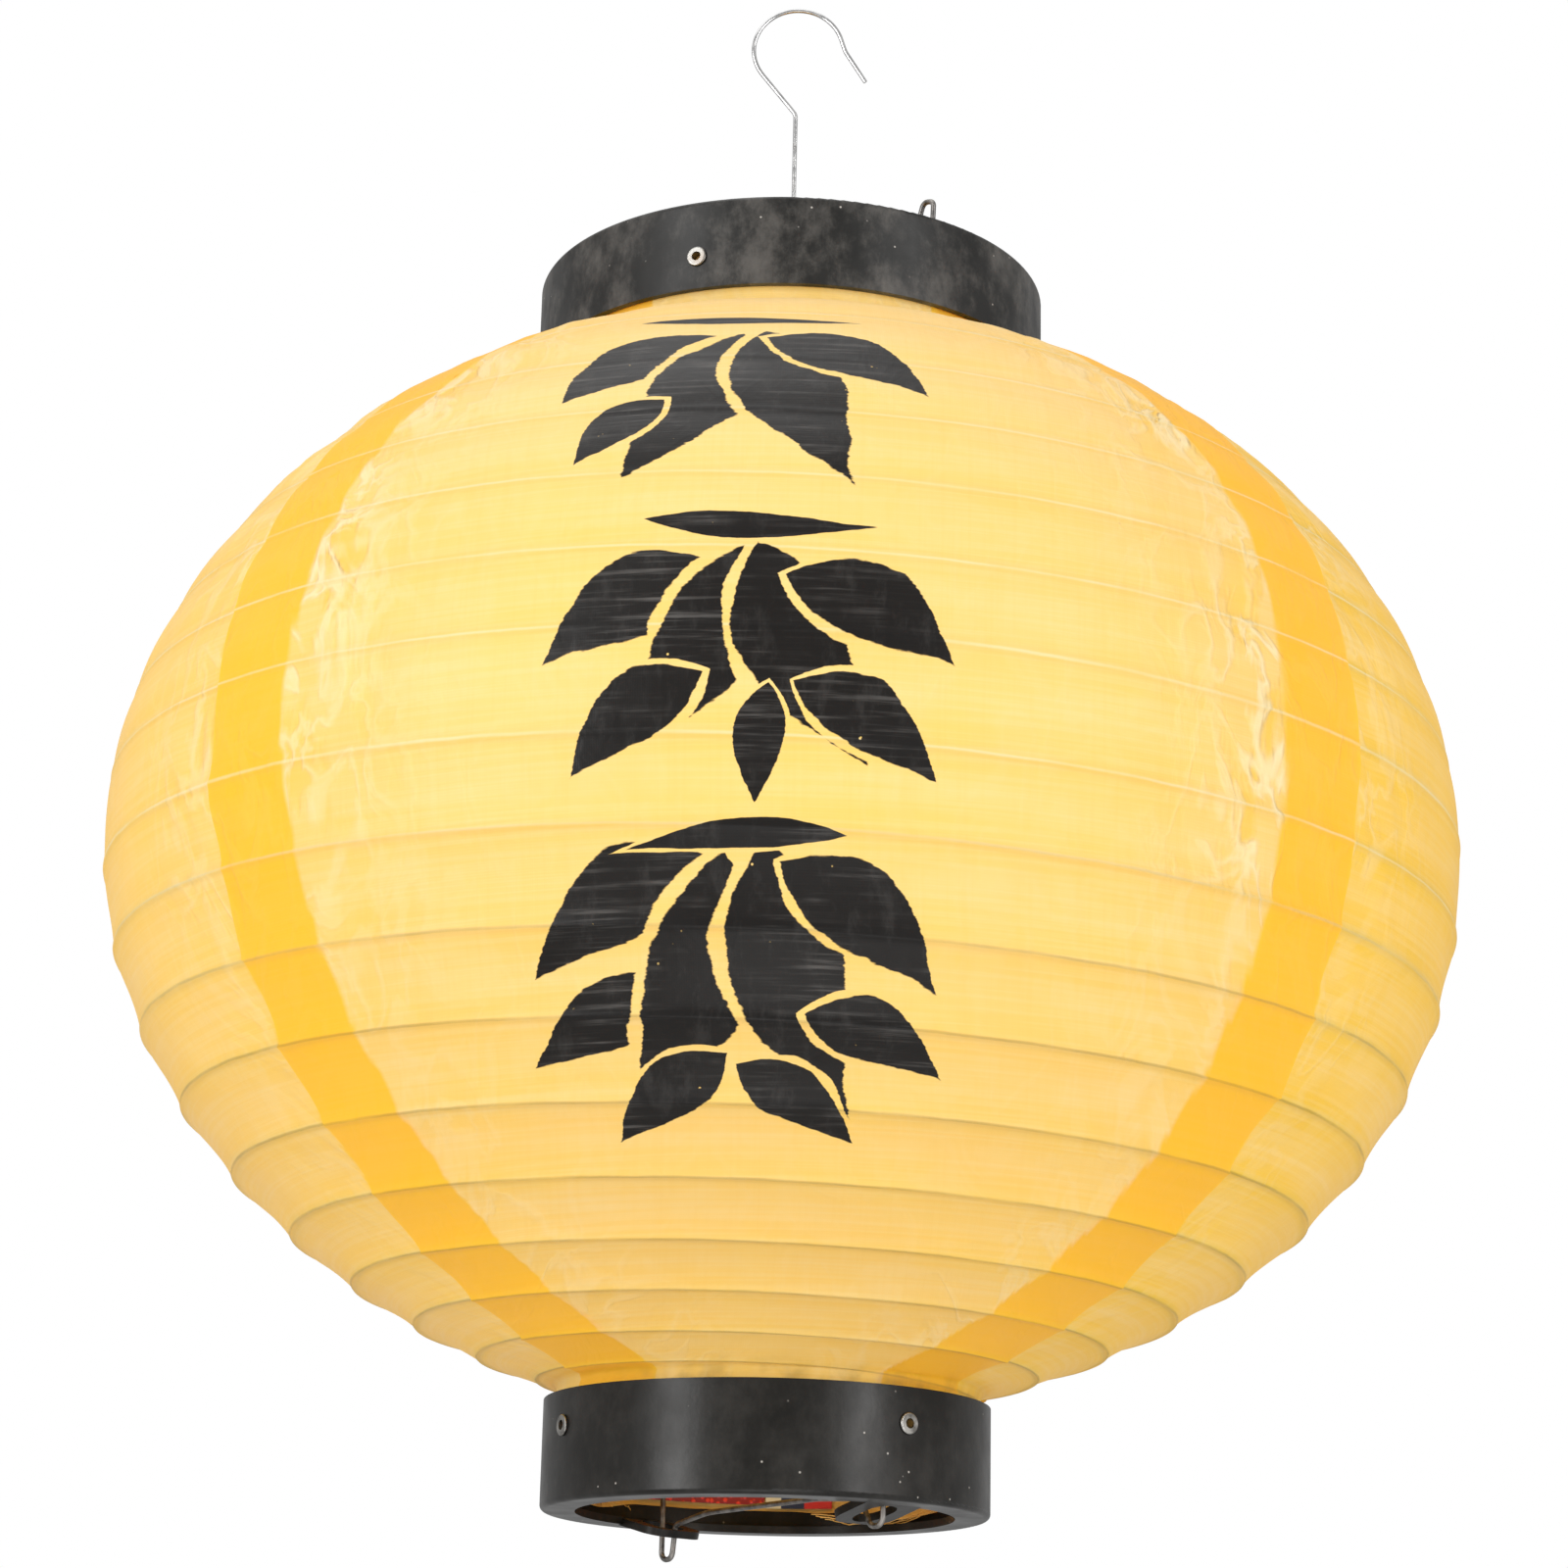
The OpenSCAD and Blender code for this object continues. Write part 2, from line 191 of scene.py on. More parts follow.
def tube(name, path, radius, sides):
    """A wire of the given radius along path, with flat ends."""
    path = np.asarray(path, float)
    radius = np.broadcast_to(radius, len(path))
    ahead = np.gradient(path, axis=0)
    ahead /= np.linalg.norm(ahead, axis=1)[:, None]
    across = np.cross(ahead, [0.0, 0.0, 1.0])
    flat = np.linalg.norm(across, axis=1) < 0.05
    across[flat] = np.cross(ahead[flat], [0.0, 1.0, 0.0])
    across /= np.linalg.norm(across, axis=1)[:, None]
    up = np.cross(across, ahead)
    turn = np.linspace(0, 2 * math.pi, sides, endpoint=False)
    ring = (across[:, None] * np.cos(turn)[:, None] + up[:, None] * np.sin(turn)[:, None])
    points = path[:, None] + ring * radius[:, None, None]
    made = grid_object(name, points, closed=True)
    data = made.data
    count = len(data.vertices)
    caps = [list(range(sides))[::-1], list(range(count - sides, count))]
    verts = [v.co[:] for v in data.vertices]
    faces = [list(p.vertices) for p in data.polygons] + caps
    data.clear_geometry()
    data.from_pydata(verts, [], faces)
    data.shade_smooth()
    return made


# ---------------------------------------------------------------- shading helpers
class Nodes:
    """A material's node tree, with short calls to build it."""

    def __init__(self, name):
        self.material = bpy.data.materials.new(name)
        self.material.use_nodes = True
        self.tree = self.material.node_tree
        self.tree.nodes.clear()
        self.out = self.add("ShaderNodeOutputMaterial")

    def add(self, kind, **values):
        node = self.tree.nodes.new(kind)
        for key, value in values.items():
            setattr(node, key, value)
        return node

    def put(self, value, socket):
        if isinstance(value, bpy.types.NodeSocket):
            self.tree.links.new(value, socket)
        else:
            socket.default_value = value

    def math(self, op, a, b=0.0, c=0.0, clamp=False):
        node = self.add("ShaderNodeMath", operation=op, use_clamp=clamp)
        for value, socket in zip((a, b, c), node.inputs):
            self.put(value, socket)
        return node.outputs[0]

    def ramp(self, value, low, high, to_low=0.0, to_high=1.0):
        node = self.add("ShaderNodeMapRange", interpolation_type="SMOOTHSTEP")
        for v, socket in zip((value, low, high, to_low, to_high), node.inputs):
            self.put(v, socket)
        return node.outputs[0]

    def times(self, a, b):
        return self.math("MULTIPLY", a, b)

    def mix(self, share, a, b):
        node = self.add("ShaderNodeMix", data_type="RGBA")
        self.put(share, node.inputs[0])
        self.put(a, node.inputs[6])
        self.put(b, node.inputs[7])
        return node.outputs[2]

    def noise(self, vector, scale, detail=3.0, rough=0.55):
        node = self.add("ShaderNodeTexNoise")
        self.put(vector, node.inputs["Vector"])
        node.inputs["Scale"].default_value = scale
        node.inputs["Detail"].default_value = detail
        node.inputs["Roughness"].default_value = rough
        return node.outputs["Fac"]

    def wave(self, vector, direction, scale, distortion):
        node = self.add("ShaderNodeTexWave", wave_type="BANDS", bands_direction=direction)
        self.put(vector, node.inputs["Vector"])
        node.inputs["Scale"].default_value = scale
        node.inputs["Distortion"].default_value = distortion
        node.inputs["Detail"].default_value = 2
        return node.outputs["Fac"]

    def dots(self, vector, scale, small, large):
        """Round spots: 1 inside radius small of each cell's centre, 0 beyond large."""
        node = self.add("ShaderNodeTexVoronoi", feature="F1")
        self.put(vector, node.inputs["Vector"])
        node.inputs["Scale"].default_value = scale
        return self.ramp(node.outputs["Distance"], small, large, 1.0, 0.0)

    def stretched(self, vector, scale):
        node = self.add("ShaderNodeMapping")
        self.put(vector, node.inputs["Vector"])
        node.inputs["Scale"].default_value = scale
        return node.outputs[0]

    def where(self):
        return self.add("ShaderNodeTexCoord").outputs["Object"]

    def uv(self):
        return self.add("ShaderNodeUVMap", uv_map="cloth").outputs[0]

    def value(self, name):
        return self.add("ShaderNodeAttribute", attribute_name=name).outputs["Fac"]

    def bump(self, height, strength, distance, normal=None):
        node = self.add("ShaderNodeBump")
        node.inputs["Strength"].default_value = strength
        node.inputs["Distance"].default_value = distance
        self.put(height, node.inputs["Height"])
        if normal is not None:
            self.put(normal, node.inputs["Normal"])
        return node.outputs[0]

    def principled(self, color, rough, normal=None, **fixed):
        node = self.add("ShaderNodeBsdfPrincipled")
        self.put(color, node.inputs["Base Color"])
        self.put(rough, node.inputs["Roughness"])
        if normal is not None:
            self.put(normal, node.inputs["Normal"])
        for key, value in fixed.items():
            node.inputs[key.replace("_", " ")].default_value = value
        return node.outputs[0]

    def thin(self, face, color, share, normal=None):
        """The face shader, with share of the light passing through in the given colour."""
        through = self.add("ShaderNodeBsdfTranslucent")
        self.put(color, through.inputs["Color"])
        if normal is not None:
            self.put(normal, through.inputs["Normal"])
        both = self.add("ShaderNodeMixShader")
        both.inputs[0].default_value = share
        self.put(face, both.inputs[1])
        self.put(through.outputs[0], both.inputs[2])
        return both.outputs[0]

    def show(self, shader):
        self.put(shader, self.out.inputs["Surface"])
        return self.material


def rgb(r, g, b):
    return (r, g, b, 1.0)


# Brush leaves of the print: centre and size in millimetres on the cloth, turn in degrees, bow.
PRINT_AT = {"high": (-15, 97), "middle": (-10, 5), "low": (-14, -80)}
LEAVES = {
    "high": [(-30, 12, 38, 58, 25, 0.3), (-11, -9, 66, 78, 29, -0.22), (14, -8, 108, 80, 29, 0.25),
             (31, 13, 144, 54, 23, -0.3), (-33, -21, 48, 36, 15, 0.25), (2, 41, 176, 62, 8, 0.35)],
    "middle": [(-31, 13, 28, 54, 23, 0.3), (-11, -1, 62, 66, 26, -0.2), (13, -2, 116, 68, 27, 0.2),
               (33, 12, 152, 50, 22, -0.3), (-30, -17, 38, 44, 18, 0.3),
               (32, -18, 146, 44, 18, -0.3), (3, -25, 84, 32, 13, 0.1), (2, 34, 178, 60, 8, 0.3)],
    "low": [(-31, 21, 34, 56, 23, 0.3), (-33, -9, 26, 46, 20, 0.25), (-9, -3, 72, 76, 28, -0.2),
            (15, -1, 106, 78, 29, 0.2), (35, 18, 140, 52, 22, -0.3), (37, -13, 154, 40, 18, -0.3),
            (-17, -31, 44, 40, 17, 0.2), (17, -32, 142, 38, 16, -0.2), (1, 38, 4, 56, 8, 0.35)],
}
PRINT_GAP = 0.13  # bare line around each stroke, as a share of a leaf's half width


def print_mask(n, uv):
    """How far inside a brush leaf a point of the cloth is."""
    inside = None
    for place, leaves in LEAVES.items():
        cu, cv = PRINT_AT[place]
        for u, v, turn, length, width, bow in leaves:
            spot = n.add("ShaderNodeMapping", vector_type="TEXTURE")
            n.put(uv, spot.inputs["Vector"])
            spot.inputs["Location"].default_value = ((cu + u) * MM, (cv + v) * MM, 0)
            spot.inputs["Rotation"].default_value = (0, 0, math.radians(turn))
            spot.inputs["Scale"].default_value = (length / 2 * MM, width / 2 * MM, 1)
            split = n.add("ShaderNodeSeparateXYZ")
            n.put(spot.outputs[0], split.inputs[0])
            far = n.times(split.outputs[0], split.outputs[0])
            side = n.math("ABSOLUTE", n.math("MULTIPLY_ADD", far, bow * 1.4, split.outputs[1]))
            broad = n.math("MAXIMUM", n.math("MULTIPLY_ADD", split.outputs[0], 0.42, 1.0), 0.3)
            leaf = n.times(n.math("SUBTRACT", 1.0, far), broad)
            leaf = n.math("SUBTRACT", leaf, side)
            if inside is not None:
                # each stroke leaves a thin bare line around itself
                bare = n.math("SUBTRACT", -PRINT_GAP, leaf)
                leaf = n.math("MAXIMUM", n.math("MINIMUM", inside, bare), leaf)
            inside = leaf
    return inside


def inked(n, uv, plain, rough):
    """Paints the brush leaves on the cloth: its new colour and roughness, and the paint's mask."""
    ragged = n.math("ADD",
                    n.times(n.math("SUBTRACT", n.noise(uv, 62, 4), 0.5), 0.42),
                    n.times(n.math("SUBTRACT", n.noise(n.stretched(uv, (60, 900, 1)), 1.0, 2), 0.5),
                            0.10))
    paint = n.ramp(n.math("ADD", print_mask(n, uv), ragged), 0.035, 0.075)
    pinholes = n.times(n.dots(uv, 260, 0.05, 0.12), n.ramp(n.noise(uv, 210, 2), 0.60, 0.68))
    paint = n.math("SUBTRACT", paint, pinholes, clamp=True)
    # lighter grey streaks along the strokes: partly dry-brush marks, partly a painted sheen on the
    # paint
    brush_streak_and_sheen = n.ramp(n.noise(n.stretched(uv, (20, 520, 1)), 1.0, 4, 0.65), 0.47, 0.72)
    cloudy = n.ramp(n.noise(uv, 26, 4, 0.6), 0.38, 0.66)
    scuff = n.ramp(n.noise(n.stretched(uv, (150, 60, 1)), 1.0, 5, 0.7), 0.50, 0.70)
    ink = n.mix(n.times(n.times(brush_streak_and_sheen, cloudy), 0.75),
                rgb(0.011, 0.010, 0.0095), rgb(0.17, 0.162, 0.155))
    ink = n.mix(n.times(scuff, 0.20), ink, rgb(0.10, 0.096, 0.092))
    return n.mix(paint, plain, ink), n.math("MULTIPLY_ADD", paint, -0.10, rough), paint


def cloth_material(name, printed):
    """Thin yellow woven cloth: threads, crumples, the wire's painted highlight and shadow, specks,
    and a painted shadow by the bottom ring.
    """
    n = Nodes(name)
    uv = n.uv()
    turn, lap, painted_light_by_height = n.value("turn"), n.value("lap"), n.value("painted_light_by_height")
    # distance from the wire in millimetres, negative above it
    f = n.math("FRACT", n.math("ADD", turn, 0.5))
    from_rib = n.times(n.math("SUBTRACT", f, 0.5), PITCH / MM)
    wander = n.math("SUBTRACT", n.noise(uv, 60, 4), 0.5)
    from_rib = n.math("MULTIPLY_ADD", wander, 0.8, from_rib)
    near = n.ramp(n.math("ABSOLUTE", from_rib), 0.12, 0.62, 1.0, 0.0)
    below = n.ramp(n.math("ABSOLUTE", n.math("SUBTRACT", from_rib, 0.9)), 0.2, 1.1, 1.0, 0.0)
    middle = n.ramp(n.math("ABSOLUTE", from_rib), 3.5, 11.0)
    # threads
    slub = n.noise(n.stretched(uv, (14, 700, 1)), 1.0, 3)
    slub_up = n.noise(n.stretched(uv, (700, 10, 1)), 1.0, 3)
    weft, warp = n.wave(uv, "Y", 420, 1.2), n.wave(uv, "X", 520, 1.0)
    threads = n.math("ADD", n.times(weft, 0.6), n.times(warp, 0.4))
    # crumples beside the laps: crests painted lighter as highlights and hollows painted a deeper
    # yellow as shade
    zone = n.value("zone")
    bent = n.add("ShaderNodeTexNoise")
    n.put(n.stretched(uv, (66, 40, 1)), bent.inputs["Vector"])
    bent.inputs["Scale"].default_value = 1.0
    bent.inputs["Detail"].default_value = 3
    bent.inputs["Roughness"].default_value = 0.5
    bent.inputs["Distortion"].default_value = 0.8
    away = n.math("ABSOLUTE", n.math("SUBTRACT", bent.outputs["Fac"], 0.5))
    crest_and_painted_highlight = n.ramp(away, 0.0, 0.085, 1.0, 0.0)
    hollow_and_painted_shade = n.ramp(n.noise(n.stretched(uv, (84, 36, 1)), 1.0, 3), 0.49, 0.62)
    # colour
    # painted light: the cloth is painted paler the higher it hangs, where more light falls, and
    # deeper lower down
    plain = n.mix(painted_light_by_height, rgb(0.965, 0.645, 0.145), rgb(1.0, 0.750, 0.275))
    patch = n.noise(uv, 16, 4)
    # painted shade: the side panels are painted a deeper yellow where less light reaches them, the
    # right side most
    plain = n.mix(n.times(n.value("painted_side_shade"), 0.88), plain, rgb(0.93, 0.625, 0.045))
    plain = n.mix(n.times(n.ramp(patch, 0.40, 0.66), 0.34), plain, rgb(1.0, 0.72, 0.15))
    # painted highlight: each strip between turns of the wire is painted paler along its middle,
    # where it swells out
    plain = n.mix(n.times(middle, 0.14), plain, rgb(1.0, 0.86, 0.46))
    drift = n.noise(n.stretched(uv, (9, 75, 1)), 1.0, 4)
    plain = n.mix(n.times(n.ramp(drift, 0.50, 0.70), 0.16), plain, rgb(1.0, 0.90, 0.55))
    plain = n.mix(n.times(n.ramp(slub, 0.42, 0.62), 0.14), plain, rgb(1.0, 0.90, 0.56))
    plain = n.mix(n.times(n.ramp(slub_up, 0.45, 0.65), 0.10), plain, rgb(0.93, 0.60, 0.12))
    plain = n.mix(n.times(threads, 0.10), plain, rgb(0.90, 0.58, 0.14))
    # painted shade in the crumples' hollows and painted highlights on their crests
    plain = n.mix(n.times(n.times(hollow_and_painted_shade, zone), 0.70), plain,
                  rgb(0.99, 0.65, 0.085))
    plain = n.mix(n.times(n.times(crest_and_painted_highlight, zone), 0.75), plain,
                  rgb(1.0, 0.93, 0.60))
    plain = n.mix(n.times(lap, 0.80), plain, rgb(0.985, 0.610, 0.003))
    # the wire is painted as a highlight along its ridge high on the bag and as a dark shadow line
    # low on it
    low = n.value("low")
    light = n.times(near, n.math("SUBTRACT", 0.55, n.times(low, 0.55)))
    painted_rib_shadow = n.times(near, n.math("MULTIPLY_ADD", low, 0.46, 0.02))
    broken = n.ramp(n.noise(n.stretched(uv, (26, 26, 1)), 1.0, 3), 0.30, 0.62, 0.35, 1.0)
    plain = n.mix(n.times(light, broken), plain, rgb(1.0, 0.93, 0.58))
    # painted shade in a band just below the wire
    plain = n.mix(n.times(below, 0.20), plain, rgb(0.90, 0.56, 0.10))
    plain = n.mix(n.times(painted_rib_shadow, broken), plain, rgb(0.24, 0.20, 0.055))
    plain = n.mix(n.times(n.dots(uv, 22, 0.010, 0.022), 0.55), plain, rgb(0.16, 0.08, 0.03))
    # painted shadow: darker just above the bottom ring, on the left and front left, where the
    # ring's edge and the wire's last turn shade the cloth
    painted_ring_shadow = n.times(n.value("painted_ring_shadow"), n.ramp(n.noise(uv, 90, 5), 0.40, 0.66))
    plain = n.mix(n.times(painted_ring_shadow, 0.55), plain, rgb(0.33, 0.24, 0.07))
    bump = n.bump(threads, 0.10, 0.00012)
    bump = n.bump(n.noise(uv, 140, 5), 0.25, 0.0005, bump)
    bump = n.bump(n.times(crest_and_painted_highlight, zone), 0.6, 0.0009, bump)
    bump = n.bump(n.times(hollow_and_painted_shade, zone), 0.55, -0.0012, bump)
    rough = n.ramp(patch, 0.3, 0.7, 0.42, 0.56)
    glow = n.mix(n.times(lap, 0.5), rgb(1.0, 0.68, 0.13), rgb(1.0, 0.52, 0.03))
    if printed:
        plain, rough, paint = inked(n, uv, plain, rough)
        glow = n.mix(paint, glow, rgb(0.01, 0.008, 0.006))
    face = n.principled(plain, rough, bump, Specular_IOR_Level=0.25, Sheen_Weight=0.08,
                        Sheen_Roughness=0.45)
    return n.show(n.thin(face, n.mix(0.25, glow, plain), 0.38, bump))


def hem_material():
    """The cloth where it is turned in, without the print and the wire's marks."""
    n = Nodes("hem_cloth")
    at = n.where()
    weave = n.wave(at, "Z", 420, 1.5)
    color = n.mix(n.noise(at, 120, 4), rgb(0.86, 0.47, 0.07), rgb(1.0, 0.74, 0.28))
    color = n.mix(n.times(weave, 0.2), color, rgb(0.72, 0.38, 0.05))
    bump = n.bump(weave, 0.2, 0.0002)
    face = n.principled(color, 0.6, bump, Sheen_Weight=0.2)
    return n.show(n.thin(face, color, 0.3))


def plastic_material(name, worn):
    """Moulded charcoal plastic; worn runs from 0, fresh, to 1, rubbed pale."""
    n = Nodes(name)
    at = n.where()
    cloudy = n.noise(at, 26, 5, 0.6)
    drawn = n.noise(n.stretched(at, (160, 160, 14)), 1.0, 4)
    color = n.mix(n.ramp(cloudy, 0.3, 0.75),
                  rgb(0.0045, 0.0043, 0.0035), rgb(0.010, 0.0094, 0.0085))
    color = n.mix(n.times(n.ramp(drawn, 0.5, 0.75), 0.20), color, rgb(0.026, 0.025, 0.0235))
    rubbed = n.ramp(n.noise(n.stretched(at, (64, 64, 44)), 1.0, 6, 0.7), 0.40, 0.72)
    color = n.mix(n.times(rubbed, 0.75 * worn), color, rgb(0.13, 0.122, 0.113))
    speck = n.times(n.dots(at, 190, 0.035, 0.08), n.ramp(n.noise(at, 70, 2), 0.47, 0.56))
    color = n.mix(n.times(speck, 0.65), color, rgb(0.55, 0.52, 0.48))
    haze = n.ramp(n.noise(n.stretched(at, (9, 9, 30)), 1.0, 4), 0.45, 0.8)
    color = n.mix(n.times(haze, 0.04 + 0.25 * worn), color, rgb(0.10, 0.094, 0.088))
    bump = n.bump(n.noise(at, 900, 3), 0.12, 0.0002)
    bump = n.bump(n.noise(at, 45, 3), 0.18, 0.0010, bump)
    bump = n.bump(drawn, 0.10, 0.0003, bump)
    rough = n.ramp(n.noise(at, 60, 5), 0.3, 0.75, 0.27 + 0.16 * worn, 0.38 + 0.2 * worn)
    return n.show(n.principled(color, rough, bump, Specular_IOR_Level=0.18 + 0.18 * worn))


def wire_material(name, low, high, rough_low, rough_high, rust, pits):
    """Bare metal between two tones and two roughnesses, with patches of rust and fine pits."""
    n = Nodes(name)
    at = n.where()
    spots = n.noise(at, 240, 5, 0.65)
    color = n.mix(n.ramp(spots, 0.35, 0.65), low, high)
    color = n.mix(n.times(n.ramp(n.noise(at, 90, 4), 0.55, 0.72), rust), color,
                  rgb(0.16, 0.09, 0.045))
    bump = n.bump(n.noise(n.stretched(at, (900, 900, 120)), 1.0, 3), 0.02 + pits, 0.0001)
    rough = n.ramp(spots, 0.3, 0.7, rough_low, rough_high)
    return n.show(n.principled(color, rough, bump, Metallic=1.0))


def rib_material():
    """The spiral wire's coating."""
    n = Nodes("rib_wire")
    at = n.where()
    color = n.mix(n.ramp(n.noise(at, 160, 4), 0.35, 0.7),
                  rgb(0.10, 0.105, 0.06), rgb(0.20, 0.19, 0.12))
    bump = n.bump(n.noise(at, 700, 3), 0.3, 0.0001)
    return n.show(n.principled(color, 0.45, bump))


def tape_material():
    """Red tape with a raised knotted weave."""
    n = Nodes("red_tape")
    at = n.where()
    knot = n.dots(at, 620, 0.25, 0.55)
    color = n.mix(knot, rgb(0.30, 0.008, 0.006), rgb(0.85, 0.045, 0.02))
    bump = n.bump(knot, 0.6, 0.0004)
    return n.show(n.principled(color, 0.5, bump, Sheen_Weight=0.3))


def label_material():
    """Cream paper with a plain navy block and a plain red block."""
    n = Nodes("label_paper")
    at = n.where()
    split = n.add("ShaderNodeSeparateXYZ")
    n.put(at, split.inputs[0])
    across = split.outputs[0]
    blue = n.ramp(across, 0.0046, 0.0050)
    red = n.ramp(across, 0.0116, 0.0120)
    paper = n.mix(n.noise(at, 300, 4), rgb(0.66, 0.58, 0.36), rgb(0.80, 0.73, 0.50))
    color = n.mix(blue, paper, rgb(0.012, 0.022, 0.06))
    color = n.mix(red, color, rgb(0.62, 0.02, 0.015))
    bump = n.bump(n.noise(at, 600, 3), 0.2, 0.0002)
    return n.show(n.principled(color, 0.55, bump))


def floor_material():
    """Matt, almost white."""
    n = Nodes("pale_floor")
    at = n.where()
    color = n.mix(n.noise(at, 3, 3), rgb(0.86, 0.86, 0.85), rgb(0.90, 0.90, 0.89))
    return n.show(n.principled(color, 0.8, n.bump(n.noise(at, 60, 3), 0.05, 0.001)))


# ---------------------------------------------------------------- the four panels
# rows across one strip, packed close to the wire on both sides
STRIP = np.array([0.0, 0.016, 0.036, 0.065, 0.11, 0.18, 0.27, 0.38, 0.50, 0.62, 0.73, 0.82, 0.89,
                  0.935, 0.964, 0.984])
COLUMNS = 190


def crinkles(u, v, t, to_lap, in_lap, from_wire, seed):
    """Puckers that gather the cloth beside its sewn laps."""
    beside = np.exp(-(np.clip(to_lap, 0, 1) / 0.030) ** 2) * (1 - in_lap) + 0.55 * in_lap
    beside = beside * (0.25 + 0.75 * smooth(t, -30, -8)) * (1 - 0.5 * smooth(t, 45, 60))
    patchy = 0.55 + 0.45 * noise(u, v, 0.030, 0.034, seed)
    slant = u + 0.35 * v
    folds = 1 - np.abs(noise(slant, v, 0.0085, 0.019, seed + 1))
    folds = folds**2 - 0.35
    soft = noise(slant, v, 0.012, 0.016, seed + 2)
    fine = noise(u - 0.4 * v, v, 0.005, 0.008, seed + 3)
    pinned = 1 - 0.75 * np.exp(-((from_wire / 0.003) ** 2))
    near = (0.62 * folds + 0.55 * soft + 0.16 * fine) * beside * patchy * 1.9
    calm = (0.16 * noise(u, v, 0.028, 0.02, seed + 4)
            + 0.07 * noise(slant, v, 0.010, 0.012, seed + 5))
    return (near + calm) * pinned * MM


def panel(name, middle, off, seed, painted_side_shade, material):
    """One gore, from the middle of its lap on one side to the far edge of its lap on the other."""
    turns = np.arange(-2, len(RIB_LEVELS) + 2)
    w = (turns[:, None] + STRIP).ravel()[:, None]
    side = np.linspace(-1, 1, COLUMNS)[None, :]
    az = middle + 45 * side + 0 * w
    for _ in range(3):
        h = 2 * w + start_of_turn(az)
        _, _, t, r = on_bag(az, h, off)
        v = height_on_cloth(t)
        jog = noise(np.floor(w) * 0.01 + side * 0 + 0.3, v, 0.01, 0.30, seed + 8)
        jog = 1.1 * np.sign(side) * jog
        wave = 1.3 * noise(side * 0.02, v, 0.02, 0.018, seed + 9) + jog
        reach = SEAM_LAP / 2 + wave * MM * np.abs(side) ** 3
        az = middle + side * (45 + np.degrees(np.arcsin(np.clip(reach / r, -0.9, 0.9))))
    h = 2 * w + start_of_turn(az)
    point, out, t, r = on_bag(az, h, off)
    v = height_on_cloth(t)
    u = np.radians(az - middle) * r
    f = w - np.floor(w) + 0 * az
    from_wire = np.minimum(f, 1 - f) * PITCH
    edge = 45 - np.degrees(np.arcsin(np.clip(SEAM_LAP / 2 / r, 0, 0.9)))
    to_lap = np.radians(edge - np.abs(az - middle)) * r
    in_lap = smooth(-to_lap, -0.0002, 0.0002)
    # between turns the cloth swells above the widest level and sinks below it
    swell = np.interp(t, [-72, -60, -16, -2, 8, 20, 58, 68],
                      [-0.5, -1.3, -1.5, -0.3, 0.5, 1.0, 0.9, 0.2])
    arch = 4 * f**1.25 * (1 - f) ** 0.95
    ridge = np.exp(-((from_wire / 0.0010) ** 2))
    ridge = ridge * np.interp(t, [-72, -20, 5, 60, 68], [0.35, 0.3, 0.35, 0.35, 0.1])
    fade = 1 - np.clip((np.abs(np.clip(t, T_BOTTOM, T_TOP) - t)) / 1.0, 0, 1)
    push = (swell * arch + ridge) * MM * fade
    push = push + crinkles(u, v, t, to_lap, in_lap, from_wire, seed) * fade
    point = point + out * push[..., None]
    keep = (point[..., 2] < TOP_EDGE + 0.007) & (point[..., 2] > BOTTOM_EDGE - 0.007)
    # painted light: 0 low on the bag to 1 high on it, for the paler colour painted where more light
    # falls
    painted_light_by_height = np.clip(0.62 + (point[..., 2] - BODY_Z) / 0.36, 0, 1)
    zone = np.exp(-(np.clip(to_lap, 0, 1) / 0.026) ** 2) * (1 - 0.75 * in_lap)
    zone = zone * (0.25 + 0.75 * smooth(t, -34, -8)) * (1 - 0.6 * smooth(t, 40, 58))
    # the side panels, which carry the painted side shade, get weaker crumples
    zone = zone * (0.45 if painted_side_shade else 1.0)
    zone = zone * np.clip(0.75 + 0.6 * noise(u, v, 0.022, 0.026, seed + 6), 0, 1) + 0.06
    low = smooth(-t, 4, 30)
    # where the painted shadow by the bottom ring falls: just above the ring, on the left and front
    # left
    near_ring = np.exp(-(((point[..., 2] - BOTTOM_EDGE) / 0.004) ** 2))
    painted_ring_shadow = near_ring * smooth(np.sin(np.radians(az + 70)), 0.2, 0.9)
    made = grid_object(name, point, keep,
                       attributes={"turn": w + 0 * az, "lap": in_lap, "low": low, "painted_light_by_height": painted_light_by_height,
                                   "painted_ring_shadow": painted_ring_shadow, "zone": zone, "painted_side_shade": np.full_like(az, painted_side_shade)},
                       uv=np.stack([u, v], -1))
    made.data.materials.append(material)
    return made


cloth_plain = cloth_material("yellow_cloth", False)
cloth_printed = cloth_material("yellow_cloth_printed", True)
# the number before the material is how strongly a panel is painted with side shade
panels = {
    "front": panel("front_cloth", 0, 0.0, 11, 0.0, cloth_printed),
    "right": panel("right_cloth", 90, CLOTH_STEP, 37, 1.0, cloth_plain),
    "back": panel("back_cloth", 180, 0.0, 53, 0.0, cloth_printed),
    "left": panel("left_cloth", -90, CLOTH_STEP, 71, 0.28, cloth_plain),
}

